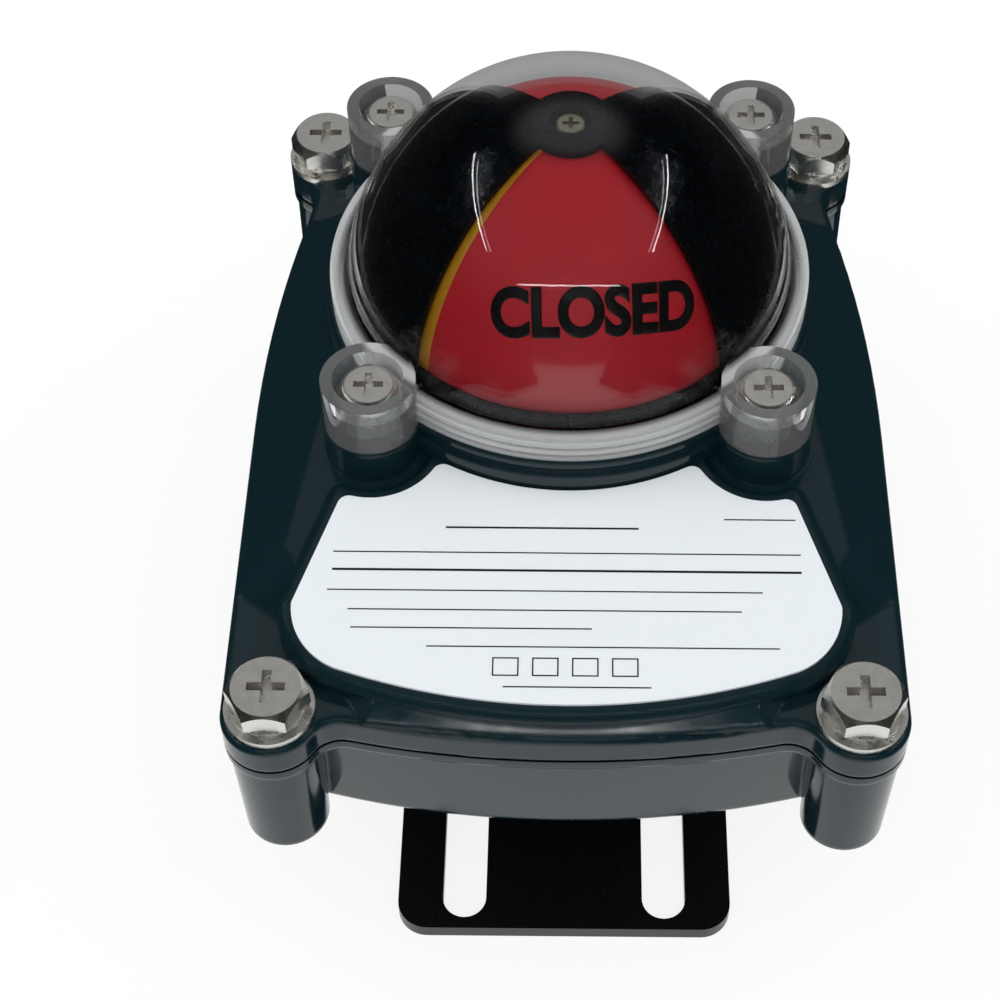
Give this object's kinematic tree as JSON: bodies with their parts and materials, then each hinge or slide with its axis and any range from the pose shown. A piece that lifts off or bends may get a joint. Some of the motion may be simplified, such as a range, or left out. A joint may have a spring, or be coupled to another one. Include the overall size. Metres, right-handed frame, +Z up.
{
  "type": "valve limit switch box",
  "caption": "Rotary valve limit switch box with a domed position indicator, cam-driven switches, terminal strip and a folded slotted mounting bracket.",
  "frame": {"origin": "on the shaft's axis, in the plane that the bracket's feet stand on", "axes": "+Z up along the shaft, -Y towards the nameplate, +X to the right"},
  "size_m": [0.0938, 0.1556, 0.0947],
  "materials": {
    "black_coating": "gloss powder coat on die-cast aluminium",
    "black_steel": "black coated sheet steel",
    "stainless": "stainless steel",
    "zinc_steel": "zinc plated steel",
    "bronze": "sintered bronze",
    "brass": "tinned brass",
    "rubber": "nitrile rubber",
    "insulator": "natural nylon",
    "switch_black": "moulded phenolic",
    "strip_grey": "moulded polyamide",
    "cam_red": "moulded acetal",
    "cam_yellow": "moulded acetal",
    "closed_red": "moulded plastic",
    "open_yellow": "moulded plastic",
    "hood_black": "moulded plastic",
    "clear_dome": "clear polycarbonate",
    "plate_white": "white lacquered aluminium"
  },
  "bodies": {
    "housing": {"base_housing": "black_coating", "mounting_bracket": "black_steel", "bracket_screws": "stainless", "bracket_washers": "stainless", "cover_gasket": "rubber", "shaft_bushing": "bronze", "switch_plate": "zinc_steel", "switch_plate_screws": "zinc_steel", "switch_spacer": "insulator", "switch_screws": "zinc_steel", "lower_switch": "switch_black", "upper_switch": "switch_black", "lower_switch_tabs": "brass", "upper_switch_tabs": "brass", "terminal_strip": "strip_grey", "terminal_plates": "brass", "terminal_screws": "zinc_steel", "terminal_strip_screws": "zinc_steel", "earth_screw": "stainless", "earth_washer": "stainless"},
    "shaft": {"drive_shaft": "stainless", "shaft_o_ring": "rubber", "thrust_washer": "stainless", "circlip": "zinc_steel", "lower_cam": "cam_red", "upper_cam": "cam_yellow", "cam_spring": "stainless", "cam_cap": "insulator", "drum_carrier": "hood_black", "drum_closed_panels": "closed_red", "drum_open_panels": "open_yellow", "drum_screw": "stainless"},
    "cover": {"top_cover": "black_coating", "nameplate": "plate_white", "cover_bolts": "stainless", "cover_washers": "stainless", "cover_spring_washers": "stainless", "dome": "clear_dome", "dome_gasket": "rubber", "dome_screws": "stainless", "indicator_hood": "hood_black"},
    "lower_lever": {"lower_switch_lever": "stainless", "lower_roller_pin": "stainless"},
    "upper_lever": {"upper_switch_lever": "stainless", "upper_roller_pin": "stainless"},
    "lower_roller": {"lower_lever_roller": "insulator"},
    "upper_roller": {"upper_lever_roller": "insulator"},
    "lower_plunger": {"lower_switch_plunger": "closed_red"},
    "upper_plunger": {"upper_switch_plunger": "closed_red"}
  },
  "joints": [
    {"name": "shaft_turn", "type": "hinge", "parent": "housing", "child": "shaft", "pos_m": [0, 0, 0.03], "axis": [0, 0, 1], "range_deg": [-3, 87]},
    {"name": "cover_lift", "type": "slide", "parent": "housing", "child": "cover", "axis": [0, 0, 1], "range_m": [0, 0.07]},
    {"name": "lower_lever_swing", "type": "hinge", "parent": "housing", "child": "lower_lever", "pos_m": [-0.0123, -0.0187, 0.03315], "axis": [0, 0, 1], "range_deg": [-0.3, 5.9]},
    {"name": "upper_lever_swing", "type": "hinge", "parent": "housing", "child": "upper_lever", "pos_m": [-0.0123, -0.0187, 0.04445], "axis": [0, 0, 1], "range_deg": [-5.9, 0.3]},
    {"name": "lower_roller_spin", "type": "hinge", "parent": "lower_lever", "child": "lower_roller", "pos_m": [0.00469, -0.01504, 0.03315], "axis": [0, 0, 1], "continuous": true},
    {"name": "upper_roller_spin", "type": "hinge", "parent": "upper_lever", "child": "upper_roller", "pos_m": [0.00425, -0.0134, 0.04445], "axis": [0, 0, 1], "continuous": true},
    {"name": "lower_plunger_slide", "type": "slide", "parent": "housing", "child": "lower_plunger", "axis": [0, 1, 0], "range_m": [-0.0001, 0.0009]},
    {"name": "upper_plunger_slide", "type": "slide", "parent": "housing", "child": "upper_plunger", "axis": [0, 1, 0], "range_m": [-0.0009, 0.0001]}
  ],
  "couplings": [
    {"joint": "lower_lever_swing", "follows": "shaft_turn", "ratio": 0.066667},
    {"joint": "upper_lever_swing", "follows": "shaft_turn", "ratio": -0.066667},
    {"joint": "lower_plunger_slide", "follows": "shaft_turn", "m_per_rad": 0.000567},
    {"joint": "upper_plunger_slide", "follows": "shaft_turn", "m_per_rad": -0.000567}
  ]
}
